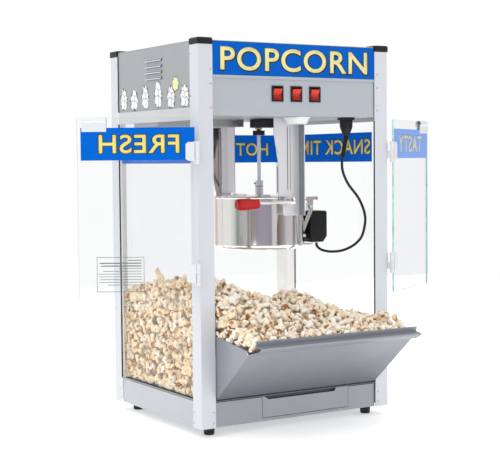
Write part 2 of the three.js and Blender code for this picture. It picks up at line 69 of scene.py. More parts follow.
# ---- the cabinet's own measures, in mm
# Places are written as in the CAD source, from the front left post's outer bottom corner:
# X right, Y back, Z up.
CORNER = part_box("post_front_left")[0]


def at(x, y, z):
    return CORNER + Vector((x, y, z)) * MM


def span(node):
    """A node's box in the cabinet's own millimetres."""
    low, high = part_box(node)
    return (low - CORNER) / MM, (high - CORNER) / MM


POST = 30.0
WIDTH = span("post_front_right")[1].x
DEPTH = span("post_back_left")[1].y
LEFT_DOOR_ANGLE, HINGE = 148.0, 6.0
STRIP_Z = (483.5, 541.0)  # printed strip on the doors
INNER_STRIP_Z = (477.0, 535.0)  # and on the fixed glass

# ---- camera
LENS, SENSOR = 91.07, 36.0
CAMERA_PLACE = (-1098.8, -1955.9, 481.5)
CAMERA_TURN = (31.617, 3.171, -0.503)  # azimuth, pitch and roll, in degrees
camera = bpy.data.objects.new("camera", bpy.data.cameras.new("camera"))
camera.data.lens = LENS
camera.data.sensor_width = SENSOR
camera.data.clip_end = 30
azimuth, pitch, roll = (math.radians(a) for a in CAMERA_TURN)
level = math.cos(pitch)
forward = Vector((math.sin(azimuth) * level, math.cos(azimuth) * level, -math.sin(pitch)))
right = Vector((math.cos(azimuth), -math.sin(azimuth), 0))
up = right.cross(forward)
right, up = right * math.cos(roll) + up * math.sin(roll), up * math.cos(roll) - right * math.sin(roll)
axes = Matrix((right, up, -forward)).transposed().to_4x4()
camera.matrix_world = Matrix.Translation(at(*CAMERA_PLACE)) @ axes
scene.collection.objects.link(camera)
scene.camera = camera


# ---- node materials
class Nodes:
    """Short calls for the nodes of one tree."""

    def __init__(self, tree):
        self.tree = tree

    def feed(self, socket, value):
        """Sets an input to a number or a color, or links an output to it."""
        if isinstance(value, bpy.types.NodeSocket):
            self.tree.links.new(value, socket)
        else:
            socket.default_value = value

    def node(self, kind, inputs=None, **settings):
        made = self.tree.nodes.new(kind)
        for key, value in settings.items():
            setattr(made, key, value)
        for key, value in (inputs or {}).items():
            self.feed(made.inputs[key], value)
        return made

    def remap(self, value, low, high, to_low=0.0, to_high=1.0, smooth=False):
        ends = {"From Min": low, "From Max": high, "To Min": to_low, "To Max": to_high}
        return self.node("ShaderNodeMapRange", {"Value": value, **ends},
                         interpolation_type="SMOOTHSTEP" if smooth else "LINEAR").outputs["Result"]

    def math(self, operation, a, b=0.0):
        return self.node("ShaderNodeMath", {0: a, 1: b}, operation=operation).outputs["Value"]

    def mix(self, share, *colors):
        a, b = (color + (1,) if isinstance(color, tuple) else color for color in colors)
        return self.node("ShaderNodeMix", {"Factor": share, 6: a, 7: b}, data_type="RGBA").outputs[2]


class Surface(Nodes):
    """A Principled material. Its sockets' names are written with _ for a space."""

    def __init__(self, name, color, roughness, metallic=0.0, **sockets):
        self.mat = bpy.data.materials.new(name)
        self.mat.use_nodes = True
        super().__init__(self.mat.node_tree)
        self.bsdf = self.tree.nodes["Principled BSDF"]
        self.set(Base_Color=(*color, 1), Roughness=roughness, Metallic=metallic, **sockets)
        coords = self.node("ShaderNodeTexCoord").outputs
        self.coords, self.normal = coords["Object"], coords["Normal"]

    def set(self, **sockets):
        for key, value in sockets.items():
            self.feed(self.bsdf.inputs[key.replace("_", " ")], value)

    def noise(self, scale, detail=4.0, rough=0.55, shift=0.0, stretch=(1, 1, 1)):
        place = self.node("ShaderNodeMapping", {
            "Vector": self.coords, "Scale": stretch, "Location": (shift, shift * 0.7, shift * 1.3)})
        return self.node("ShaderNodeTexNoise", {
            "Vector": place.outputs[0], "Scale": scale, "Detail": detail, "Roughness": rough}).outputs["Fac"]

    def height_above_foot(self):
        """The point's Z in the cabinet's millimetres."""
        parts = self.node("ShaderNodeSeparateXYZ", {"Vector": self.coords})
        return self.math("DIVIDE", self.math("SUBTRACT", parts.outputs["Z"], CORNER.z), MM)

    def facing_share(self, way):
        """How far the face looks along a direction or against it, from 0 to 1."""
        facing = self.node("ShaderNodeVectorMath", {0: self.normal, 1: way}, operation="DOT_PRODUCT")
        return self.math("ABSOLUTE", facing.outputs["Value"])

    def bump(self, height, strength, distance):
        node = self.node("ShaderNodeBump", {"Height": height, "Strength": strength, "Distance": distance})
        self.set(Normal=node.outputs["Normal"])


def shade(color, factor):
    return tuple(min(1.0, c * factor) for c in color)


def glow(color, strength):
    """Emission sockets for a surface that is no lamp: a painted glow, such as for the light a thin film
    passes on from behind it.
    """
    return {"Emission_Color": (*color, 1), "Emission_Strength": strength}


def metal(name, color, roughness, metallic, grain=(1, 1, 1), grain_scale=900, streak=0.04, wear=0.05,
          bump=0.12, sides=1.0, front=1.0, low=None, **sockets):
    """Rolled or drawn metal: fine grain lines, soft cloudy wear and a few finger marks in the gloss.
    sides and front scale the tone of the faces across and along the cabinet: painted light and shade.
    low=(z0, z1, tone) darkens the front downwards: painted shade."""
    s = Surface(name, color, roughness, metallic, **sockets)
    lines = s.noise(grain_scale, 3.0, 0.6, stretch=grain)
    cloud = s.noise(9, 4.0, 0.6, 3.1)
    tone = s.mix(s.remap(lines, 0.3, 0.7), shade(color, 1 - streak), shade(color, 1 + streak))
    tone = s.mix(s.remap(cloud, 0.35, 0.75, 0, 0.6), tone, shade(color, 1 - wear))
    if sides != 1.0 or front != 1.0:
        # painted light and shade: each face's tone is scaled by which way it looks, and the front's also by
        # height
        sideways = s.remap(s.facing_share((1, 0, 0)), 0.45, 0.75, smooth=True)
        front_painted_shade = s.remap(s.height_above_foot(), *low, front, True) if low else front
        level = s.math("ADD", s.math("MULTIPLY", sideways, sides),
                       s.math("MULTIPLY", s.math("SUBTRACT", 1.0, sideways), front_painted_shade))
        tone = s.node("ShaderNodeVectorMath", {0: tone, "Scale": level}, operation="SCALE").outputs["Vector"]
    marks = s.remap(cloud, 0.3, 0.7, roughness * 0.85, roughness * 1.2)
    s.set(Base_Color=tone, Roughness=s.math("ADD", marks, s.remap(lines, 0, 1, -0.03, 0.03)))
    s.bump(lines, bump, 0.00008)
    return s


def moulded(name, color, roughness, grain=2600, depth=0.00012, variation=0.25, strength=0.25, **sockets):
    """Moulded plastic or rubber with a fine spark texture."""
    s = Surface(name, color, roughness, **sockets)
    fine = s.noise(grain, 2.0)
    cloud = s.noise(28, 3.0, 0.5, 1.7)
    tone = s.mix(s.remap(cloud, 0.3, 0.7), shade(color, 1 - variation), shade(color, 1 + variation))
    s.set(Base_Color=tone, Roughness=s.remap(cloud, 0.3, 0.7, roughness * 0.85, min(1.0, roughness * 1.15)))
    s.bump(fine, strength, depth)
    return s


def printed(name, color, roughness=0.5, variation=0.05, **sockets):
    """Smooth film or ink."""
    return moulded(name, color, roughness, 300, 0.00003, variation, 0.15, **sockets)


ALONG_Z, ALONG_X, ALONG_Y, PLAIN = (1, 1, 0.02), (0.02, 1, 1), (1, 0.02, 1), (1, 1, 1)
aluminium = metal("aluminium", (0.655, 0.68, 0.725), 0.42, 0.22, ALONG_Z, 700, 0.02, 0.03)
rail_metal = metal("rail_aluminium", (0.61, 0.625, 0.65), 0.42, 0.25, ALONG_Y, 700, 0.025, 0.03)
panel = metal("panel_sheet", (0.44, 0.475, 0.515), 0.45, 0.2, ALONG_X, 500, 0.02, 0.03)
side_panel = metal("side_panel_sheet", (0.37, 0.382, 0.40), 0.48, 0.2, ALONG_Y, 500, 0.02, 0.04)
# sides painted lighter and front painted darker: painted light and shade
base_sheet = metal("base_sheet", (0.43, 0.452, 0.485), 0.42, 0.3, ALONG_X, 500, 0.03, 0.05,
                   sides=1.14, front=0.80)
# front painted darker towards the bottom: painted shade
chute_sheet = metal("chute_sheet", (0.305, 0.318, 0.355), 0.38, 0.4, ALONG_X, 500, 0.03, 0.06,
                    front=0.95, low=(50, 150, 0.62))
polished = metal("polished_steel", (0.88, 0.86, 0.84), 0.06, 1.0, ALONG_Z, 300, 0.03, 0.04, 0.015)
inner_steel = metal("inner_steel", (0.50, 0.50, 0.50), 0.3, 0.75, ALONG_X, 600, 0.04, 0.08)
satin = metal("satin_steel", (0.80, 0.81, 0.85), 0.3, 0.45, ALONG_Z, 800, 0.03, 0.04)
cast = metal("satin_casting", (0.76, 0.77, 0.79), 0.36, 0.15, PLAIN, 1500, 0.03, 0.06)
brass = metal("brass_nut", (0.80, 0.60, 0.24), 0.25, 1.0)
screw_metal = metal("screw_steel", (0.55, 0.56, 0.58), 0.3, 0.9, PLAIN, 2000)
# painted shade and painted light: a darker copy and a lighter, glowing copy of the hangers' steel for their
# flanges' left faces
flange_painted_shade = metal("flange_painted_shade", (0.30, 0.315, 0.34), 0.3, 0.6, ALONG_Z, 800, 0.03, 0.04)
flange_painted_light = metal("flange_painted_light", (0.70, 0.695, 0.71), 0.3, 0.2, ALONG_Z, 800, 0.03, 0.04,
                     **glow((0.92, 0.92, 0.95), 0.2))
# painted light: a lighter, glowing copy of the posts' aluminium for their faces inside the cabinet
post_inner = metal("post_inner", (0.78, 0.775, 0.775), 0.35, 0.1, ALONG_Z, 700, 0.02, 0.05,
                   **glow((0.95, 0.93, 0.92), 0.36))
black = moulded("black_plastic", (0.009, 0.009, 0.011), 0.42, Specular_IOR_Level=0.35)
foot_rubber = moulded("foot_rubber", (0.010, 0.010, 0.011), 0.7, 1400, 0.0002)
cable_rubber = moulded("cable_rubber", (0.012, 0.012, 0.014), 0.5, 1800, 0.0001)
handle_red = moulded("handle_red", (0.43, 0.009, 0.011), 0.3, 500, 0.0002, 0.12, Specular_IOR_Level=0.3)
# dark rubber for the real gaskets, and also for painted shadow and shade in gaps and grooves
gasket_and_shadow = moulded("dark_rubber_and_shadow", (0.02, 0.02, 0.022), 0.6)
recess_painted_shade = moulded("recess_painted_shade", (0.07, 0.075, 0.09), 0.5)
lens_white = moulded("lens_white", (0.85, 0.86, 0.86), 0.35, 900, 0.0001, 0.03, Subsurface_Weight=0.2)
sign_blue = printed("sign_blue", (0.0005, 0.100, 0.49), 0.34, Specular_IOR_Level=0.05)
film_blue = printed("film_blue", (0.0004, 0.092, 0.44), 0.4, 0.04, Specular_IOR_Level=0.03,
                    **glow((0.002, 0.13, 0.66), 0.25))  # painted glow for the daylight behind the thin film
film_painted_light = printed("film_painted_light", (0.10, 0.20, 0.52), 0.4, 0.04, Specular_IOR_Level=0.1,
                    **glow((0.30, 0.42, 0.70), 0.35))  # the same film with painted light: lighter and glowing more, for the stronger light behind it
# painted glow on the yellow ink
film_yellow = printed("film_yellow", (0.70, 0.58, 0.14), 0.5, 0.06, **glow((0.8, 0.66, 0.2), 0.12))
# painted glow on the pale ink
ink_pale_painted_glow = printed("ink_pale_painted_glow", (0.50, 0.50, 0.36), 0.5, 0.06, **glow((0.6, 0.62, 0.5), 0.15))
letter_yellow = printed("letter_yellow", (0.78, 0.71, 0.30), 0.4, 0.06)
letter_dark = printed("letter_dark", (0.012, 0.02, 0.03), 0.5, 0.1)
print_white = printed("print_white", (0.84, 0.84, 0.83))
print_cream = printed("print_cream", (0.76, 0.78, 0.40))
print_steel = printed("print_steel", (0.20, 0.30, 0.50))
print_grey = printed("print_grey", (0.16, 0.17, 0.17))


def rocker_painted_highlight():
    """Translucent red rocker with a painted highlight: lighter and glowing over its upper half."""
    s = Surface("rocker_red", (0.45, 0.010, 0.006), 0.18, Specular_IOR_Level=0.3,
                Emission_Color=(1.0, 0.05, 0.01, 1))
    flicker = s.remap(s.noise(90, 2.0), 0, 1, -5, 5)
    # painted highlight: lighter and glowing above this height
    highlight_share = s.remap(s.math("ADD", s.height_above_foot(), flicker), 596, 608, smooth=True)
    s.set(Base_Color=s.mix(s.math("MULTIPLY", highlight_share, 0.55), (0.30, 0.004, 0.003), (0.62, 0.05, 0.02)),
          Emission_Strength=s.math("MULTIPLY", highlight_share, 0.22))
    s.bump(s.noise(700, 2.0), 0.1, 0.00008)
    return s


rocker_red = rocker_painted_highlight()
GLASS_EDGE, GLASS_TINT = (0.42, 0.72, 0.64), (0.991, 0.994, 0.995)


def glass_material(name, normal, ends=True):
    """Clear float glass: see-through on its wide faces, green on its ends unless they are hidden."""
    s = Surface(name, GLASS_EDGE, 0.2)
    clear = s.node("ShaderNodeBsdfTransparent", {"Color": GLASS_TINT + (1,)})
    gloss = s.node("ShaderNodeBsdfGlossy", {"Roughness": 0.03, "Color": (0.95, 0.98, 1.0, 1)})
    weight = s.node("ShaderNodeLayerWeight", {"Blend": 0.5})
    grazing = s.math("POWER", weight.outputs["Facing"], 5.0)
    smear = s.remap(s.noise(6, 3.0), 0.3, 0.7, 0.01, 0.028)
    shine = s.math("ADD", s.math("MULTIPLY", grazing, 0.7), smear)
    face = s.node("ShaderNodeMixShader", {"Fac": shine, 1: clear.outputs["BSDF"], 2: gloss.outputs["BSDF"]})
    cloud = s.remap(s.noise(40, 2.0), 0.3, 0.7)
    s.set(Base_Color=s.mix(cloud, shade(GLASS_EDGE, 0.8), shade(GLASS_EDGE, 1.3)))
    wide = s.math("GREATER_THAN", s.facing_share(normal), 0.7) if ends else 1.0
    both = s.node("ShaderNodeMixShader", {"Fac": wide, 1: s.bsdf.outputs["BSDF"], 2: face.outputs["Shader"]})
    s.feed(s.tree.nodes["Material Output"].inputs["Surface"], both.outputs["Shader"])
    return s


def popcorn_material():
    """Popped corn: matt cream foam, amber in the creases where the hull shows."""
    s = Surface("popcorn_flesh", (0.9, 0.85, 0.7), 0.75, Subsurface_Weight=0.12,
                Subsurface_Radius=(0.004, 0.003, 0.0015))
    tint = s.node("ShaderNodeAttribute", attribute_name="hull").outputs["Fac"]
    warm = s.node("ShaderNodeAttribute", attribute_name="warm").outputs["Fac"]
    fine = s.noise(420, 3.0, 0.6)
    flesh = s.mix(s.remap(warm, 0, 1), (0.975, 0.94, 0.875), (0.92, 0.72, 0.46))
    flesh = s.mix(s.remap(fine, 0.45, 0.8, 0, 0.3), flesh, (0.90, 0.70, 0.38))
    hull = s.mix(s.remap(fine, 0.35, 0.65), (0.30, 0.085, 0.025), (0.60, 0.27, 0.06))
    share = s.math("ADD", tint, s.remap(fine, 0, 1, -0.15, 0.15))
    s.set(Base_Color=s.mix(s.remap(share, 0.35, 0.75, smooth=True), flesh, hull),
          Roughness=s.remap(tint, 0, 1, 0.8, 0.45))
    s.bump(s.noise(700, 3.0, 0.7), 0.5, 0.0006)
    return s


def popcorn_depth():
    """Painted shade: the dark tone that stands for the shaded corn behind the outer kernels."""
    s = Surface("popcorn_depth", (0.42, 0.30, 0.19), 0.9)
    cloud = s.noise(160, 3.0, 0.6)
    s.set(Base_Color=s.mix(s.remap(cloud, 0.35, 0.65), (0.30, 0.20, 0.12), (0.66, 0.52, 0.36)))
    return s


popcorn, depth_painted_shade = popcorn_material(), popcorn_depth()


# ---- making pieces
def mesh_of(bm, name):
    bmesh.ops.recalc_face_normals(bm, faces=bm.faces)
    mesh = bpy.data.meshes.new(name)
    bm.to_mesh(mesh)
    bm.free()
    return mesh


def piece(name, shape, body, surface, smooth=0, weighted=False):
    """Adds a shape as a visible piece; smooth is the angle in degrees above which an edge stays sharp."""
    mesh = mesh_of(shape, name) if isinstance(shape, bmesh.types.BMesh) else shape
    obj = bpy.data.objects.new(name, mesh)
    scene.collection.objects.link(obj)
    mesh.materials.clear()
    mesh.materials.append(surface.mat)
    if smooth:
        mesh.polygons.foreach_set("use_smooth", [True] * len(mesh.polygons))
        mesh.set_sharp_from_angle(angle=math.radians(smooth))
    if weighted:
        obj.modifiers.new("weighted", "WEIGHTED_NORMAL").keep_sharp = True
    if body:
        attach(obj, body)
    return obj


SHARP = math.radians(28)


def soften(bm, width):
    """Rounds every sharp edge."""
    sharp = [e for e in bm.edges if len(e.link_faces) == 2 and e.calc_face_angle(0) > SHARP]
    bmesh.ops.bevel(bm, geom=sharp, offset=width * MM, segments=2, profile=0.6, affect="EDGES",
                    clamp_overlap=True)


def refine(node, surface, bevel):
    """A copy of a CAD node with rounded edges and smooth curves, which stands for it."""
    bm = bmesh.new()
    bm.from_mesh(frame["nodes"][node].data)
    bmesh.ops.remove_doubles(bm, verts=bm.verts, dist=2e-6)
    bmesh.ops.dissolve_limit(bm, angle_limit=math.radians(1.0), verts=bm.verts, edges=bm.edges)
    if bevel:
        soften(bm, bevel)
    obj = piece(node + "_finished", bm, BODY_OF[node], surface, 40, True)
    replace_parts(obj, node)
    return obj


def block(bm, low, high, bevel=0.0):
    """A box between two corners in the cabinet's millimetres, with softened edges."""
    made = bmesh.new()
    bmesh.ops.create_cube(made, size=1.0)
    size, middle = Vector(high) - Vector(low), (Vector(high) + Vector(low)) / 2
    for v in made.verts:
        v.co = at(*(middle + v.co * size))
    if bevel:
        soften(made, bevel)
    merge(bm, made)


def merge(bm, other, matrix=None):
    """Moves one shape into another."""
    if matrix is not None:
        bmesh.ops.transform(other, matrix=matrix, verts=other.verts)
    mesh = bpy.data.meshes.new("part")
    other.to_mesh(mesh)
    other.free()
    bm.from_mesh(mesh)
    bpy.data.meshes.remove(mesh)


def thicken(bm, way):
    """Extrudes a flat outline by a vector in millimetres."""
    made = bmesh.ops.extrude_face_region(bm, geom=list(bm.faces))
    moved = [e for e in made["geom"] if isinstance(e, bmesh.types.BMVert)]
    bmesh.ops.translate(bm, verts=moved, vec=Vector(way) * MM)


def lathe(profile, segments):
    """A turned solid about its own Z from (radius, height) points, in metres."""
    bm = bmesh.new()
    verts = [bm.verts.new((r * MM, 0, z * MM)) for r, z in profile]
    edges = [bm.edges.new(pair) for pair in zip(verts, verts[1:])]
    bmesh.ops.spin(bm, geom=verts + edges, axis=UP, cent=(0, 0, 0), steps=segments, angle=2 * math.pi)
    bmesh.ops.remove_doubles(bm, verts=bm.verts, dist=1e-6)
    return bm


def aimed(place, direction, spin=0.0):
    """A matrix that puts a shape's own Z along a direction at a place."""
    turn = Vector(UP).rotation_difference(Vector(direction)).to_matrix().to_4x4()
    return Matrix.Translation(place) @ turn @ Matrix.Rotation(spin, 4, "Z")


# ---- CAD nodes, finished
BODY_OF = {node: body for body, nodes in frame["record"]["behaviour"]["bodies"].items() for node in nodes}
CORNERS = ("front_left", "front_right", "back_left", "back_right")
FINISH = {
    **{f"post_{c}": (aluminium, 0.0) for c in CORNERS},
    **{f"cap_{c}": (black, 1.0) for c in CORNERS},
    **{f"foot_{c}": (foot_rubber, 0.5) for c in CORNERS},
    "upper_rail_left": (rail_metal, 0.6), "upper_rail_right": (rail_metal, 0.6),
    "base_tray": (base_sheet, 0.25), "floor_pan": (base_sheet, 0.2), "crumb_drawer": (base_sheet, 0.35),
    "chute": (chute_sheet, 0.3), "sign_panel": (sign_blue, 0.3), "control_panel": (panel, 0.3),
    "header_side_left": (side_panel, 0.3), "header_side_right": (side_panel, 0.3),
    "header_back": (side_panel, 0.3), "header_top": (panel, 0.3), "header_floor": (inner_steel, 0.3),
    "switch_bezels": (black, 0.5), **{f"rocker_{c}": (rocker_red, 0.7) for c in ("left", "middle", "right")},
    "kettle": (polished, 0.3), "kettle_lid_flap": (polished, 0.3),
    "hanger_front": (satin, 0.35), "hanger_rear": (polished, 0.35), "handle_rod": (polished, 0.4),
    "handle_grip": (handle_red, 0.5), "terminal_box": (black, 2.5), "motor_block": (black, 1.2),
    "drive_coupling": (black, 0.8), "stirrer": (satin, 0.4), "outlet_socket": (black, 0.5),
    "lead_plug": (black, 0.6), "lamp_lens": (lens_white, 0.6),
}
for side in ("left", "right"):
    FINISH[f"{side}_door_pull"] = (cast, 0.35)
    for height in ("upper", "lower"):
        FINISH[f"{side}_door_clamp_{height}"] = (cast, 0.5)
        FINISH[f"{side}_hinge_bracket_{height}"] = (cast, 0.5)
# thin sheet whose CAD mesh is already right
AS_DRAWN = {"header_side_left", "header_side_right", "header_back", "header_top", "floor_pan", "base_tray",
            *(f"post_{c}" for c in CORNERS)}


def paint(node, surface):
    """The material of a CAD mesh that stays as drawn."""
    mesh = frame["nodes"][node].data
    mesh.materials.clear()
    mesh.materials.append(surface.mat)


for node, (surface, bevel) in FINISH.items():
    if node in AS_DRAWN:
        paint(node, surface)
    else:
        refine(node, surface, bevel)


def face_finish(mesh, surface, chosen):
    """Another finish on the faces of a mesh that the test picks."""
    mesh.materials.append(surface.mat)
    for face in mesh.polygons:
        if chosen(face):
            face.material_index = 1


def looks_inward(face):
    """Whether a post's face looks towards the middle of the cabinet."""
    way = at(WIDTH / 2, DEPTH / 2, 0) - face.center
    way.z = 0
    return abs(face.normal.z) < 0.5 and face.normal.dot(way.normalized()) > 0.3


# the hangers' left faces get the painted shade and the painted light
for node, surface in (("hanger_front", flange_painted_shade), ("hanger_rear", flange_painted_light)):
    face_finish(bpy.data.objects[node + "_finished"].data, surface, lambda face: face.normal.x < -0.95)
# the back posts' inward faces get the painted light
for corner in ("back_left", "back_right"):
    face_finish(frame["nodes"]["post_" + corner].data, post_inner, looks_inward)


def door_direction(side):
    a = math.radians(LEFT_DOOR_ANGLE if side == "left" else 180 - LEFT_DOOR_ANGLE)
    return Vector((math.cos(a), math.sin(a), 0))


def door_matrix(side, offset=Vector()):
    """Carries what is drawn along +X from the cabinet's corner onto the open door, from its hinge."""
    d = door_direction(side)
    hinge = Vector((-HINGE if side == "left" else WIDTH + HINGE, -HINGE, 0)) + offset
    turn = Matrix.Rotation(math.atan2(d.y, d.x), 4, "Z")
    return Matrix.Translation(at(*hinge)) @ turn @ Matrix.Translation(-CORNER)


for node, normal in (("glass_left", RIGHT), ("glass_right", RIGHT), ("glass_back", BACK)):
    paint(node, glass_material(node + "_clear", normal, ends=False))  # their ends sit inside the posts
for node in ("left_door_glass", "right_door_glass"):
    d = door_direction(node[:-11])
    paint(node, glass_material(node + "_clear", (-d.y, d.x, 0)))

# ---- the kettle's lead
LEAD_ROUTE = [(343.9, 43, 485.6), (342.6, 43, 474), (343, 42, 462), (347, 41, 449), (356, 40, 433),
              (370, 39, 417), (380, 39, 405), (388, 39, 391), (395, 40, 374), (398, 43, 357),
              (398, 52, 333), (393, 61, 319), (383, 72, 308), (369, 84, 301), (356, 98, 299),
              (347, 109, 300.5), (341, 117, 304), (337.5, 122.5, 310), (337, 124, 316.4)]
LEAD_RADIUS = 2.6


def smooth_path(points):
    """A Catmull-Rom curve through the points."""
    p = [Vector(q) for q in points]
    p = [2 * p[0] - p[1]] + p + [2 * p[-1] - p[-2]]
    out = []
    for a, b, c, d in zip(p, p[1:], p[2:], p[3:]):
        for t in (0, 0.2, 0.4, 0.6, 0.8):
            out.append(0.5 * (2 * b + (c - a) * t + (2 * a - 5 * b + 4 * c - d) * t * t
                              + (3 * b - a - 3 * c + d) * t ** 3))
    return out + [p[-2]]


def tube(path, radius):
    """A closed tube along points in metres."""
    bm, sides = bmesh.new(), 14
    tangents = [(b - a).normalized() for a, b in zip(path[:1] + path, path[1:] + path[-1:])]
    normal = tangents[0].orthogonal().normalized()
    rings = []
    for point, tangent in zip(path, tangents):
        normal = (normal - tangent * normal.dot(tangent)).normalized()
        across = tangent.cross(normal)
        rings.append([bm.verts.new(point + (normal * math.cos(a) + across * math.sin(a)) * radius)
                      for a in (2 * math.pi * k / sides for k in range(sides))])
    for one, two in zip(rings, rings[1:]):
        for k in range(sides):
            bm.faces.new((one[k - 1], one[k], two[k], two[k - 1]))
    bm.faces.new(reversed(rings[0]))
    bm.faces.new(rings[-1])
    return bm


lead_path = [at(*p) for p in smooth_path(LEAD_ROUTE)]
# It bends between two bodies, so it rides on neither.
lead = piece("kettle_lead_cable", tube(lead_path, LEAD_RADIUS * MM), None, cable_rubber, 60)
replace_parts(lead, "kettle_lead")
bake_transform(lead)

# ---- lettering and printed film
def letters(text, weight):
    """Plain block letters, flat in the XY plane."""
    curve = bpy.data.curves.new("letters", "FONT")
    curve.body, curve.size, curve.offset, curve.resolution_u = text, 1.0, weight, 6
    curve.space_character = 1.08
    holder = bpy.data.objects.new("letters", curve)
    scene.collection.objects.link(holder)
    bpy.context.view_layer.update()
    mesh = bpy.data.meshes.new_from_object(holder.evaluated_get(bpy.context.evaluated_depsgraph_get()))
    bpy.data.objects.remove(holder)
    bm = bmesh.new()
    bm.from_mesh(mesh)
    bpy.data.meshes.remove(mesh)
    bmesh.ops.remove_doubles(bm, verts=bm.verts, dist=1e-5)
    return bm


LETTER_WEIGHT = 0.014  # how much the strokes are thickened


def letter_pair(text, width, height, grow):
    """The letters and their outline in the XZ plane, both scaled by the letters' own box, in metres."""
    face, rim = letters(text, LETTER_WEIGHT), letters(text, LETTER_WEIGHT + grow)
    xs, ys = [v.co.x for v in face.verts], [v.co.y for v in face.verts]
    mid = Vector(((min(xs) + max(xs)) / 2, (min(ys) + max(ys)) / 2, 0))
    sx, sy = width * MM / (max(xs) - min(xs)), height * MM / (max(ys) - min(ys))
    for bm in (face, rim):
        for v in bm.verts:
            v.co = Vector(((v.co.x - mid.x) * sx, 0, (v.co.y - mid.y) * sy))
    return face, rim


def print_words(name, text, width, height, place, body, thickness=0.6, grow=0.035, drop=0.0,
                ink=film_yellow, edge=letter_dark):
    """Words on a film or sign, with an outline that may drop below them as a shadow.
    place puts the letters' own X, Y, Z onto the surface."""
    face, rim = letter_pair(text, width, height, grow)
    for label, bm, surface, depth, shift in (("words", face, ink, thickness + 0.3, 0.0),
                                             ("outline", rim, edge, thickness, -drop)):
        thicken(bm, (0, depth, 0))
        offset = Vector((-shift / 2, -depth / 2, shift)) * MM  # half the depth on each side
        bmesh.ops.translate(bm, verts=bm.verts, vec=offset)
        bmesh.ops.transform(bm, matrix=place, verts=bm.verts)
        piece(f"{name}_{label}", bm, body, surface)


def facing(origin, across, outward):
    """A matrix whose X runs across the words and whose -Y is the side they are read from."""
    x, y = Vector(across).normalized(), -Vector(outward).normalized()
    return Matrix.Translation(origin) @ Matrix((x, y, UP)).transposed().to_4x4()


sign_low, sign_high = span("sign_panel")
sign_mid = (sign_low.z + sign_high.z) / 2
print_words("sign", "POPCORN", 326, 42, facing(at(WIDTH / 2, sign_low.y, sign_mid), RIGHT, FRONT),
            "cabinet", 0.7, 0.03, 1.2, letter_yellow)


def film(name, low, high, body="cabinet", matrix=Matrix(), surface=film_blue):
    """A printed strip between two corners, which the matrix may carry elsewhere."""
    bm = bmesh.new()
    block(bm, low, high)
    bmesh.ops.transform(bm, matrix=matrix, verts=bm.verts)
    piece(name, bm, body, surface)


FILM = 0.4  # thickness
FILM_FRONT, FILM_REAR = 31.5, DEPTH - 19  # its ends on the side glass
FILM_LEFT, FILM_RIGHT, FILM_BACK = 13.3, 406.3, 337.3  # the sides of the fixed glass that carry it
z0, z1 = INNER_STRIP_Z
for name, x in (("film_right", FILM_RIGHT), ("film_left", FILM_LEFT)):
    film(name, (x, FILM_FRONT, z0), (x + FILM, FILM_REAR, z1))
film("film_back", (15, FILM_BACK, z0), (WIDTH - 15, FILM_BACK + FILM, z1))
for name, text, width, height, place, across, outward in (
        ("right", "SNACK TIME", 268, 30, (FILM_RIGHT + 0.2, 171, 507), BACK, RIGHT),
        ("left", "TASTY", 150, 30, (FILM_LEFT + 0.2, DEPTH / 2, 507), FRONT, LEFT),
        ("back", "HOT", 80, 27, (320, FILM_BACK + 0.2, 505), LEFT, BACK)):
    print_words("words_" + name, text, width, height, facing(at(*place), across, outward), "cabinet")

DOOR_FILM_END, DOOR_WORDS = 205.5, 102.5  # from the hinge: the film's end and the words' middle
FILM_LIFT = 2.25  # from the hinge line to the film on the glass
# the right door's film and ink carry more painted light than the left door's
door_styles = (("left", "FRESH", 142, 4.3, film_blue, film_yellow, letter_dark),
               ("right", "TASTY", 140, 7.5, film_painted_light, ink_pale_painted_glow, print_steel))
for side, text, width, start, surface, ink, edge in door_styles:
    d = door_direction(side)
    inner = Vector((d.y, -d.x, 0))  # the face towards the front when the door stands open
    if inner.y > 0:
        inner.negate()
    body, offset = f"{side}_door", inner * FILM_LIFT
    film(f"film_{side}_door", (start, -FILM / 2, STRIP_Z[0]), (DOOR_FILM_END, FILM / 2, STRIP_Z[1]), body,
         door_matrix(side, offset), surface)
    middle = door_matrix(side, offset) @ at(DOOR_WORDS, 0, sum(STRIP_Z) / 2)
    across = d if side == "left" else -d
    print_words(f"words_{side}_door", text, width, 33, facing(middle, across, -inner), body,
                ink=ink, edge=edge)

# ---- screws, gaskets and small fittings
def screw(radius, rise):
    """A low domed head with a cross recess, along its own Z, in metres."""
    bm, sides, rows = bmesh.new(), 32, []
    for i in range(1, 10):
        r = i / 9
        row = []
        for k in range(sides):
            a = 2 * math.pi * k / sides
            x, y = r * math.cos(a), r * math.sin(a)
            z = math.sqrt(max(0.0, 1 - 0.9 * r * r))
            if min(abs(x), abs(y)) < 0.13 and r < 0.66:
                z -= 0.55
            row.append(bm.verts.new((x * radius * MM, y * radius * MM, z * rise * MM)))
        rows.append(row)
    centre = bm.verts.new((0, 0, 0.45 * rise * MM))
    foot = [bm.verts.new((v.co.x, v.co.y, -0.25 * rise * MM)) for v in rows[-1]]
    for k in range(sides):
        n = (k + 1) % sides
        bm.faces.new((centre, rows[0][k], rows[0][n]))
        for one, two in zip(rows, rows[1:]):
            bm.faces.new((one[k], two[k], two[n], one[n]))
        bm.faces.new((rows[-1][k], foot[k], foot[n], rows[-1][n]))
    bm.faces.new(foot)
    return bm


def screws(name, spots, body="cabinet", radius=1.7, rise=0.8, surface=screw_metal):
    """spots: (x, y, z, outward) in the cabinet's millimetres."""
    bm = bmesh.new()
    for i, (x, y, z, outward) in enumerate(spots):
        merge(bm, screw(radius, rise), aimed(at(x, y, z), outward, 0.6 * i))
    piece(name, bm, body, surface, 35)


def on_sides(first, last, ys, zs):
    """Places on the left and right sides, at x = first and last."""
    return [(x, y, z, way) for x, way in ((first, LEFT), (last, RIGHT)) for y in ys for z in zs]


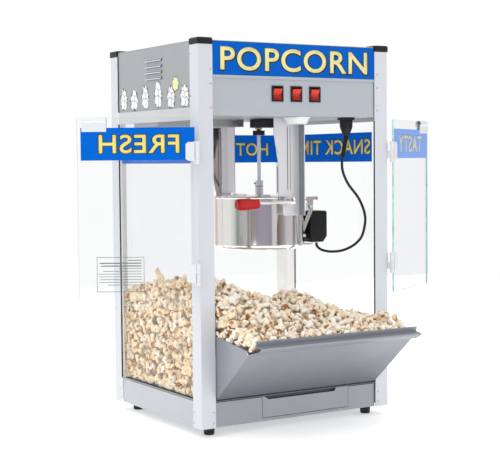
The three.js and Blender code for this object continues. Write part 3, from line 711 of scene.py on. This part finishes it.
spots = [(x, y, z, way) for x in (25.5, WIDTH - 24.5) for y, way in ((0, FRONT), (DEPTH, BACK))
         for z in (9.5, 28.5, 575.5, 618.3, 644.0)]
spots += on_sides(0, WIDTH, (26.6, DEPTH - 26.6), (8.8, 27.7, 597.0, 672.0))
screws("post_screws", spots)
screws("clamp_plate_screws", on_sides(-2, WIDTH + 2, (3.6, 11.2), (506.5, 290.5)), radius=1.6, rise=0.7)
screws("strap_screw", [(292.6, 100, 333.5, FRONT), (309, 100, 391, FRONT)], "kettle_body", 3.0, 1.3, satin)
screws("pan_screws", [(x, y, 562.3, DOWN) for x in (60, 360) for y in (40, 320)], radius=2.6, rise=1.1)
screws("motor_screws", [(x, y, 545.6, DOWN) for x in (217, 257) for y in (133, 166)], radius=2.2, rise=1.0)


def strips(name, boxes, body="cabinet", surface=gasket_and_shadow, bevel=0.25):
    """Straight trims, each between two corners, as one piece."""
    bm = bmesh.new()
    for low, high in boxes:
        block(bm, low, high, bevel)
    piece(name, bm, body, surface, 40)


GLASS_FOOT, GLASS_HEAD = 49.6, 554.5
# dark lines at the posts' edges: partly gaskets, partly painted shadow in the gaps beside them
strips("post_edge_trim", [
    ((388.4, 0.1, GLASS_FOOT), (390.0, 2.6, GLASS_HEAD)),
    ((0.1, 322.8, GLASS_FOOT), (2.6, 324.9, GLASS_HEAD)),
    ((WIDTH - 2.6, 322.8, GLASS_FOOT), (WIDTH - 0.1, 324.9, GLASS_HEAD)),
    ((0.4, 322.9, 578.2), (2.0, 324.9, 688)), ((WIDTH - 2.0, 322.9, 578.2), (WIDTH - 0.4, 324.9, 688))])
# the side strips are gaskets at the glass's foot; the front strips under the chute are painted shadow of the
# gap there
strips("glass_foot_gasket", [
    ((9.2, 31, 48.75), (9.9, 324, 50.6)), ((WIDTH - 9.9, 31, 48.75), (WIDTH - 9.2, 324, 50.6)),
    ((31.8, 0.8, 48.0), (388.2, 1.6, 51.9)), ((31.0, 3.3, 45.2), (130.0, 3.9, 46.5)),
    ((327.0, 3.3, 45.2), (388.0, 3.9, 46.5))], bevel=0.1)
for side, x in (("left", -0.9), ("right", WIDTH + 0.3)):
    lips = [((x, 139, z - 1.2), (x + 0.6, 203, z + 1.0)) for z in (669.3, 658, 646.8, 635.6)]
    strips(f"louvre_lips_{side}", lips, "cabinet", aluminium, 0.2)
# dark lines at the hangers' pressed grooves: painted shade in the grooves
grooves = [((x, 54.95, 425), (x + 0.7, 55.25, 545)) for x in (224.3, 230.0)]
grooves += [((x, 294.95, 430), (x + 0.8, 295.25, 540)) for x in (212.4, 218.6)]
strips("hanger_groove_edges", grooves, bevel=0.05)
# a dark plate inside the drawer's recess: painted shade
strips("drawer_recess", [((140.6, 9.6, 36.2), (297.4, 10.9, 45.4))], "drawer", recess_painted_shade,
       0.1)
screws("drawer_rivet", [(289, 3.6, 9.6, FRONT), (133.8, 3.6, 9.2, FRONT)], "drawer", 1.2, 0.5)
screws("chute_rivets", on_sides(31.6, 388.4, (-108.5,), (147.4,)), "chute_flap", 1.8, 0.7, satin)


def ring(name, place, profile, body, surface, segments=48, way=UP):
    """A turned fitting on a place and a direction, from (radius, height) points."""
    bm = bmesh.new()
    merge(bm, lathe(profile, segments), aimed(at(*place), way))
    piece(name, bm, body, surface, 35)


KX, KY, KETTLE_PIVOT = 226.0, 160.0, 404.8
ring("drive_nut", (KX, KY, 542.4),
     [(6.9, 0), (7.7, 0), (8.3, 0.6), (8.3, 2.5), (7.7, 3.1), (6.9, 3.1), (6.9, 0)],
     "cabinet", brass, segments=6)
# a dark band in the collar's groove: painted shade
ring("collar_groove", (KX, KY, 430.2), [(7.6, 0), (8.0, 0.2), (8.0, 1.1), (7.6, 1.3), (7.6, 0)],
     "stirrer_shaft", gasket_and_shadow)
ring("collar_set_screw", (KX - 6.9, KY + 3.6, 436.2), [(0, 0), (1.7, 0), (1.7, 1.9), (1.2, 2.4), (0, 2.4)],
     "stirrer_shaft", black, segments=20, way=(-0.89, 0.46, 0))
ring("lamp_rim", (227.5, 27, 559.2),
     [(24.1, 0), (25.6, 0.2), (25.9, 1.0), (25.6, 2.7), (24.1, 2.7), (24.1, 0)],
     "cabinet", lens_white)
ring("pivot_washer_front", (KX, 54.9, KETTLE_PIVOT),
     [(7.8, 0), (10.6, 0.1), (10.8, 0.5), (10.6, 0.9), (7.8, 1.0), (7.8, 0)],
     "kettle_body", satin, segments=40, way=FRONT)
ring("pivot_cap_front", (KX, 40.0, KETTLE_PIVOT),
     [(0, 1.2), (5.2, 1.0), (6.9, 0.3), (7.35, -0.9), (7.35, -2.2), (0, -2.2)],
     "kettle_body", polished, segments=40, way=FRONT)
ring("kettle_foot_bead", (KX, KY, 318.2), [(88.3, 0), (88.9, 0.3), (88.9, 1.0), (88.3, 1.3), (88.3, 0)],
     "kettle_body", polished, 96)


# ---- printed puffs, and the frame on the left door
def puff(bm, centre, width, height, lobes, phase, lift, way, thick=0.1):
    """A flat cloud with round lobes on a side panel; way is -1 on the left side and 1 on the right."""
    steps = 60
    x = (2.0 if way < 0 else WIDTH - 2.0) + way * lift
    made = bmesh.new()
    verts = []
    for i in range(steps):
        a = 2 * math.pi * i / steps
        r = 0.80 + 0.24 * abs(math.sin(lobes * a / 2 + phase))
        spot = at(x, centre[0] + r * math.cos(a) * width / 2, centre[1] + r * math.sin(a) * height / 2)
        verts.append(made.verts.new(spot))
    made.faces.new(verts)
    thicken(made, (way * thick, 0, 0))
    merge(bm, made)


PUFFS = [(300, 603, 34, 44), (255, 600, 36, 40), (208, 603, 34, 46), (155, 606, 35, 52), (104, 599, 36, 42),
         (52, 599, 38, 42)]  # centre Y and Z, width, height
LOBES = [(0.02, 0.24, 0.62, 0.48), (-0.20, -0.02, 0.48, 0.40), (0.20, 0.02, 0.46, 0.42),
         (-0.12, -0.27, 0.50, 0.40), (0.16, -0.24, 0.46, 0.42)]  # the same, as shares of the puff's size
SPECKS = 14  # dark crumbs round each puff
CREAM_PUFF, CREAM_SIZE, RIM = (86, 622), (24, 25), 2.2
for side, way in (("left", -1), ("right", 1)):
    rims, whites, specks, creams = (bmesh.new() for _ in range(4))
    spread = np.random.default_rng(5)
    for y, z, w, h in PUFFS:
        for k, (dy, dz, sw, sh) in enumerate(LOBES):
            spot, phase, lift = (y + dy * w, z + dz * h), float(spread.uniform(0, 3)), 0.05 + 0.06 * k
            puff(rims, spot, sw * w + RIM, sh * h + RIM, 5 + k % 3, phase, lift, way)
            puff(whites, spot, sw * w, sh * h, 5 + k % 3, phase, lift + 0.03, way)
        for _ in range(SPECKS):
            a = spread.uniform(0, 2 * math.pi)
            spot = (y + 0.40 * math.cos(a) * w, z + (0.46 * math.sin(a) - 0.02) * h)
            speck_size = spread.uniform(1.6, 3.6), spread.uniform(2.5, 6.5)
            puff(specks, spot, *speck_size, 3, 0.4, 0.40, way, 0.08)
    puff(rims, CREAM_PUFF, CREAM_SIZE[0] + 3, CREAM_SIZE[1] + 3, 7, 0.3, 0.37, way)
    puff(creams, CREAM_PUFF, *CREAM_SIZE, 7, 0.3, 0.40, way)
    for label, bm, surface in (("edge", rims, print_grey), ("white", whites, print_white),
                               ("cream", creams, print_cream), ("speck", specks, letter_dark)):
        piece(f"puffs_{side}_{label}", bm, "cabinet", surface)

# A printed frame with ruled lines and no words, in millimetres from the hinge and up.
(u0, u1), (f0, f1) = (96.0, 180.0), (250.6, 312.6)
FRAME_LINE, RULE_INSET, RULE_STEP = 0.9, 5, 4.9
RULES = [(24, 1.6), (74, 2.0), (72, 2.0), (40, 1.0), (68, 1.0), (76, 1.0), (75, 1.0), (74, 1.0), (75, 1.0),
         (60, 1.0)]  # length and weight
ruled = [(u0, u1, f0, f0 + FRAME_LINE), (u0, u1, f1 - FRAME_LINE, f1),
         (u0, u0 + FRAME_LINE, f0, f1), (u1 - FRAME_LINE, u1, f0, f1)]
for i, (reach, weight) in enumerate(RULES):
    z = f1 - RULE_INSET - RULE_STEP * i
    ruled.append((u0 + RULE_INSET, u0 + RULE_INSET + reach, z - weight, z))
lines = bmesh.new()
for a0, a1, b0, b1 in ruled:
    block(lines, (a0, FILM_LIFT - 0.2, b0), (a1, FILM_LIFT, b1))
bmesh.ops.transform(lines, matrix=door_matrix("left"), verts=lines.verts)
piece("door_note_frame", lines, "left_door", print_grey)

# ---- popcorn
rng = np.random.default_rng(20)
ball = bmesh.new()
bmesh.ops.create_icosphere(ball, subdivisions=3, radius=1.0)
BALL = np.array([v.co[:] for v in ball.verts])
BALL_FACES = np.array([[v.index for v in f.verts] for f in ball.faces])
ball.free()


def unit(vector):
    return vector / np.linalg.norm(vector)


def popped_shape():
    """One popped kernel: a burst of round lobes about a hull, with the hull bare on one side."""
    count = rng.integers(6, 10)
    away = rng.normal(size=(count, 3))
    away /= np.linalg.norm(away, axis=1)[:, None]
    reach = rng.uniform(0.42, 0.74, count)
    size = rng.uniform(0.28, 0.50, count)
    radius = np.full(len(BALL), 0.30)
    for a, c, s in zip(away, reach, size):
        along = BALL @ a * c
        inside = s * s - c * c + along ** 2
        hit = inside > 0
        radius[hit] = np.maximum(radius[hit], (along + np.sqrt(np.maximum(inside, 0)))[hit])
    wobble = sum(np.sin(BALL @ rng.normal(size=3) * f + rng.uniform(0, 6)) / f for f in (6, 9, 13, 19))
    radius = radius * (1 + 0.26 * wobble)
    hull_way = unit(rng.normal(size=3))
    crease = 1 - (radius - radius.min()) / (np.ptp(radius) + 1e-9)
    hull = np.clip(BALL @ hull_way * 1.6 + 0.35, 0, 1) * np.clip(crease * 1.8 - 0.6, 0, 1)
    stretch = np.array([1.0, rng.uniform(0.8, 1.0), rng.uniform(0.7, 0.95)])
    return BALL * radius[:, None] * stretch, hull, crease


SHAPES = [popped_shape() for _ in range(24)]


def random_turn():
    w, x, y, z = unit(rng.normal(size=4))
    return np.array([[1 - 2 * (y * y + z * z), 2 * (x * y - z * w), 2 * (x * z + y * w)],
                     [2 * (x * y + z * w), 1 - 2 * (x * x + z * z), 2 * (y * z - x * w)],
                     [2 * (x * z - y * w), 2 * (y * z + x * w), 1 - 2 * (x * x + y * y)]])


SPACING = 14.5  # between neighbouring spots


def surface_points(node, keep):
    """Spots spread over a CAD node's faces, with the faces' normals, in mm."""
    mesh = frame["nodes"][node].data
    mesh.calc_loop_triangles()
    co = (np.array([v.co[:] for v in mesh.vertices]) - np.array(CORNER)) / MM
    tris = np.array([t.vertices[:] for t in mesh.loop_triangles])
    a, b, c = co[tris[:, 0]], co[tris[:, 1]], co[tris[:, 2]]
    cross = np.cross(b - a, c - a)
    area = np.linalg.norm(cross, axis=1) / 2
    normal = cross / (2 * area[:, None] + 1e-12)
    total = int(area.sum() / SPACING ** 2 * 9)
    pick = rng.choice(len(tris), size=total, p=area / area.sum())
    u, v = rng.random(total), rng.random(total)
    flip = u + v > 1
    u[flip], v[flip] = 1 - u[flip], 1 - v[flip]
    points = a[pick] + (b - a)[pick] * u[:, None] + (c - a)[pick] * v[:, None]
    grid, chosen = {}, []
    for p, n in zip(points, normal[pick]):
        if not keep(p, n):
            continue
        cell = tuple((p // SPACING).astype(int))
        near = (q for dx in (-1, 0, 1) for dy in (-1, 0, 1) for dz in (-1, 0, 1)
                for q in grid.get((cell[0] + dx, cell[1] + dy, cell[2] + dz), ()))
        if all(((p - q) ** 2).sum() > SPACING ** 2 for q in near):
            grid.setdefault(cell, []).append(p)
            chosen.append((p, n))
    return chosen


def scatter(name, spots, body, limit, radius=(9.0, 13.0), bare=(0.3, 2.0)):
    """Popped kernels at the spots as one piece, pressed back inside the walls by limit(points)."""
    verts, faces, hulls, warms, count = [], [], [], [], 0
    for p in spots:
        shape, hull, crease = SHAPES[rng.integers(len(SHAPES))]
        co = limit((shape * rng.uniform(*radius)) @ random_turn().T + p)
        verts.append(co)
        faces.append(BALL_FACES + count)
        hulls.append(hull * rng.uniform(*bare))
        at_left_glass = p[0] < 34  # where the corn is warmer and darker
        # warmer in the creases: partly the flesh's own tone near the hull, partly painted shade
        warms.append(rng.beta(0.9, 2.4) + 0.45 * crease ** 2 + (rng.uniform(0, 1.3) if at_left_glass else 0))
        count += len(co)
    co = np.concatenate(verts) * MM + np.array(CORNER)
    tri = np.concatenate(faces)
    mesh = bpy.data.meshes.new(name)
    mesh.vertices.add(len(co))
    mesh.vertices.foreach_set("co", co.astype(np.float32).ravel())
    mesh.loops.add(tri.size)
    mesh.loops.foreach_set("vertex_index", tri.astype(np.int32).ravel())
    mesh.polygons.add(len(tri))
    mesh.polygons.foreach_set("loop_start", np.arange(0, tri.size, 3, dtype=np.int32))
    mesh.polygons.foreach_set("loop_total", np.full(len(tri), 3, dtype=np.int32))
    for label, values in (("hull", hulls), ("warm", warms)):
        layer = mesh.attributes.new(label, "FLOAT", "POINT")
        layer.data.foreach_set("value", np.concatenate(values).astype(np.float32))
    mesh.update(calc_edges=True)
    obj = piece(name, mesh, body, popcorn)
    mesh.polygons.foreach_set("use_smooth", np.ones(len(tri), dtype=bool))
    return obj


GAP = 0.4  # between kernels and what holds them
GLASS_LEFT, GLASS_RIGHT = span("glass_left")[1].x + GAP, span("glass_right")[0].x - GAP
GLASS_BACK, PAN = span("glass_back")[0].y - GAP, span("floor_pan")[1].z - 1
CHUTE = span("chute")
CHEEKS, CHEEK_ROOM = (CHUTE[0].x + 0.6, CHUTE[1].x - 0.6), 1.9  # the cheeks' middles
CHEEK_BACK, REACH = 135, 16  # how far back the closed cheeks go, and a large kernel's radius
PANEL_Z, PANEL_Y = (51, 198, 206), (3.6, 14.6, 0)  # how far back the closed chute's panel reaches
POST_BACK = 3.0  # the front posts' inner faces


def in_cabinet(co):
    """Keeps a kernel within the glass and out of the way of the closed chute and the front posts."""
    co[:, 0] = np.clip(co[:, 0], GLASS_LEFT, GLASS_RIGHT)
    co[:, 1] = np.minimum(co[:, 1], GLASS_BACK)
    co[:, 2] = np.maximum(co[:, 2], PAN + GAP)
    middle = co.mean(axis=0)
    for cheek in CHEEKS:
        if middle[1] < CHEEK_BACK and abs(middle[0] - cheek) < REACH:
            push = np.minimum if middle[0] < cheek else np.maximum
            co[:, 0] = push(co[:, 0], cheek + math.copysign(CHEEK_ROOM, middle[0] - cheek))
    if CHEEKS[0] < middle[0] < CHEEKS[1]:
        co[:, 1] = np.maximum(co[:, 1], np.interp(co[:, 2], PANEL_Z, PANEL_Y))
    behind_post = (np.minimum(co[:, 0], WIDTH - co[:, 0]) < POST + 1) & (co[:, 1] > -1)
    co[behind_post, 1] = np.maximum(co[behind_post, 1], POST_BACK)
    return co


SHEET = 1.7  # the chute's sheet with a gap to the kernels
CHUTE_LEFT, CHUTE_RIGHT = CHUTE[0].x + SHEET, CHUTE[1].x - SHEET
PANEL_START, PANEL_END = np.array([0.2, 51.2]), np.array([-112.0, 146.0])
PANEL_WAY = unit(PANEL_END - PANEL_START)
PANEL_NORMAL = np.array([PANEL_WAY[1], -PANEL_WAY[0]])  # in Y and Z, towards the popcorn
LIP_TOP, LIP_Y = 172, -124.5
DOOR_PATH, DOOR_FOOT = (-13, -1), span("left_door_glass")[0].z - 1.5  # where the closed doors stand


def in_chute(co):
    """Keeps a kernel between the chute's cheeks, above its panel, behind its lip and under the doors."""
    co[:, 0] = np.clip(co[:, 0], CHUTE_LEFT, CHUTE_RIGHT)
    under_door = (co[:, 1] > DOOR_PATH[0]) & (co[:, 1] < DOOR_PATH[1])
    co[under_door, 2] = np.minimum(co[under_door, 2], DOOR_FOOT)
    depth = (co[:, 1:] - PANEL_START) @ PANEL_NORMAL - SHEET
    low = depth < 0
    co[low, 1:] -= depth[low, None] * PANEL_NORMAL
    past_lip = (co[:, 2] < LIP_TOP) & (co[:, 1] < LIP_Y)
    co[past_lip, 1] = LIP_Y
    return co


def jitter(scale):
    return rng.normal(scale=scale, size=3)


def layers(spots):
    """Spots of the outer kernels and, further in, of a second layer of them."""
    return [p - n * inset + jitter(scale) for inset, scale in ((5.0, 2.0), (18.0, 4.0)) for p, n in spots]


CORE_INSET = 17.0


def core(name, node, body):
    """Painted shade: a dark core for the depth behind the outer kernels, the CAD heap drawn in from its
    faces.
    """
    bm = bmesh.new()
    bm.from_mesh(frame["nodes"][node].data)
    bmesh.ops.remove_doubles(bm, verts=bm.verts, dist=1e-5)
    bm.normal_update()
    for v in bm.verts:
        v.co -= v.normal * CORE_INSET * MM
    return piece(name, bm, body, depth_painted_shade)


def heap_side(p, n):
    """Whether the heap shows here: not its underside, nor its front between the posts, nor its foot."""
    return n[2] > -0.5 and not (n[1] < -0.5 and p[0] > 31) and p[2] > PAN + 6


def chute_side(p, n):
    """Whether the chute's popcorn shows here, above the panel, the lip and the cheeks."""
    behind_lip, beside_cheek = n[1] < -0.5 and p[2] < 168, abs(n[0]) > 0.5 and p[2] < 158
    return n[2] > -0.3 and n[1] <= 0.5 and not behind_lip and not beside_cheek


MOST = 150  # kernels in one mesh


def kernels(name, spots, body, limit):
    """Popped kernels from left to right, as a few pieces."""
    spots = sorted(spots, key=lambda p: p[0])
    return [scatter(f"{name}_{i // MOST:02d}", spots[i:i + MOST], body, limit)
            for i in range(0, len(spots), MOST)]


heap_spots = surface_points("popcorn_heap", heap_side)
chute_spots = surface_points("popcorn_in_chute", chute_side)
heap_spots, chute_spots = layers(heap_spots), layers(chute_spots)
# along the left glass's foot, and up the back left corner
heap_spots += [np.array((20.0, y, 54.5)) + jitter(1.5) for y in range(36, 346, 10)]
heap_spots += [np.array((18.0, 341.0, z)) + jitter(1.5) for z in range(60, 222, 12)]
chute_spots += [np.array(p) for p in (
    (43.0, -113.0, 166.0), (55.0, -117.0, 163.0), (41.0, -103.0, 166.0), (37.0, -118.0, 157.0),
    (47.0, -120.0, 158.0), (392.0, -40.0, 181.0), (376.0, -52.0, 186.0), (392.0, -66.0, 177.0),
    (360.0, -62.0, 188.0), (386.0, -86.0, 172.0), (395.0, -16.0, 182.0))]  # in the chute's upper corners
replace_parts(kernels("popcorn_heap", heap_spots, "cabinet", in_cabinet)[0], "popcorn_heap")
stuck = [np.array(p) for p in ((23.5, 196.0, 251.0), (22.5, 199.0, 260.0), (22.0, 203.0, 270.0))]
scatter("popcorn_flake", stuck, "cabinet", in_cabinet, (9.5, 12.0), (0.2, 0.9))
core("popcorn_heap_core", "popcorn_heap", "cabinet")
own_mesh(core("popcorn_chute_core", "popcorn_in_chute", "chute_flap"))
chute_pieces = kernels("popcorn_chute", chute_spots, "chute_flap", in_chute)
for obj in chute_pieces:
    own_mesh(obj)
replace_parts(chute_pieces[0], "popcorn_in_chute")

# ---- floor, light and background
FLOOR_REACH = 2.2  # metres
floor_mesh = bmesh.new()
bmesh.ops.create_grid(floor_mesh, x_segments=1, y_segments=1, size=FLOOR_REACH)
floor = bpy.data.objects.new("studio_floor", mesh_of(floor_mesh, "studio_floor"))
scene.collection.objects.link(floor)
paper = Surface("studio_paper", (0.93, 0.93, 0.93), 0.9, **glow((1, 1, 1), 0.38))
cloud = paper.remap(paper.noise(3), 0.3, 0.7)
paper.set(Base_Color=paper.mix(cloud, (0.925, 0.925, 0.93), (0.94, 0.94, 0.94)))
floor.data.materials.append(paper.mat)
floor.location = (0, 0, -0.0005)


def softbox(name, place, target, size, watts, color=(1, 1, 1)):
    light = bpy.data.lights.new(name, "AREA")
    light.shape, light.size, light.size_y, light.energy, light.color = "RECTANGLE", *size, watts, color
    obj = bpy.data.objects.new(name, light)
    obj.location = place
    obj.rotation_euler = (Vector(target) - Vector(place)).to_track_quat("-Z", "Y").to_euler()
    scene.collection.objects.link(obj)


centre = (0, 0, 0.36)
softbox("key", (-1.8, -0.6, 1.9), centre, (1.4, 1.4), 9)
softbox("fill", (1.8, -1.8, 1.2), centre, (1.2, 1.6), 3)
softbox("back_top", (0.2, 1.6, 1.8), centre, (1.6, 1.0), 5)


# Azimuth seen from the camera in degrees, left negative, and the wall's tone there.
WALLS = [(-180, (0.80, 0.78, 0.76)), (-152, (0.72, 0.66, 0.60)), (-143, (0.66, 0.48, 0.38)),
         (-136, (0.88, 0.87, 0.84)), (-82, (0.90, 0.90, 0.87)), (-66, (0.62, 0.64, 0.62)),
         (-57, (0.20, 0.24, 0.23)), (-52, (0.42, 0.43, 0.42)), (-38, (0.52, 0.49, 0.49)),
         (-31, (0.60, 0.55, 0.53)), (-30, (0.90, 0.58, 0.40)), (-25, (0.92, 0.62, 0.43)),
         (-24, (0.26, 0.23, 0.17)), (-15, (0.36, 0.32, 0.27)), (-12, (0.30, 0.29, 0.35)),
         (10, (0.36, 0.34, 0.41)), (30, (0.31, 0.30, 0.36)), (33, (0.62, 0.61, 0.64)),
         (43, (0.66, 0.65, 0.67)), (46, (0.16, 0.13, 0.12)), (64, (0.36, 0.33, 0.32)),
         (72, (0.56, 0.54, 0.56)), (112, (0.62, 0.60, 0.63)), (124, (0.24, 0.24, 0.27)),
         (140, (0.70, 0.70, 0.72)), (180, (0.80, 0.78, 0.76))]
WALLS_TURN, WALLS_END = 122, (0.35, 0.7)  # degrees; the heights between which the walls fade to white


def studio():
    """A white studio whose walls carry darker and tinted flags, which the polished steel mirrors."""
    world = bpy.data.worlds.new("studio")
    world.use_nodes = True
    w = Nodes(world.node_tree)
    coords = w.node("ShaderNodeTexCoord").outputs["Generated"]
    turn = w.node("ShaderNodeVectorRotate", {"Vector": coords, "Angle": math.radians(WALLS_TURN)},
                  rotation_type="Z_AXIS")
    x, y, z = w.node("ShaderNodeSeparateXYZ", {"Vector": turn.outputs["Vector"]}).outputs
    share = w.remap(w.math("ARCTAN2", y, x), -math.pi, math.pi)
    walls = w.node("ShaderNodeValToRGB", {"Fac": share})
    ramp = walls.color_ramp
    ramp.elements.remove(ramp.elements[-1])
    for i, (degrees, color) in enumerate(WALLS):
        spot = ramp.elements[0] if i == 0 else ramp.elements.new((degrees + 180) / 360)
        spot.position = (degrees + 180) / 360
        spot.color = color + (1,)
    room = w.mix(w.remap(z, *WALLS_END, smooth=True), walls.outputs["Color"], (1, 1, 1))
    # only mirrors see the walls: the backdrop and the light stay plain white
    seen = w.node("ShaderNodeLightPath").outputs["Is Glossy Ray"]
    w.feed(w.tree.nodes["Background"].inputs["Color"], w.mix(seen, (1, 1, 1), room))
    return world


scene.world = studio()
scene.view_settings.view_transform = "Standard"

bpy.context.view_layer.update()
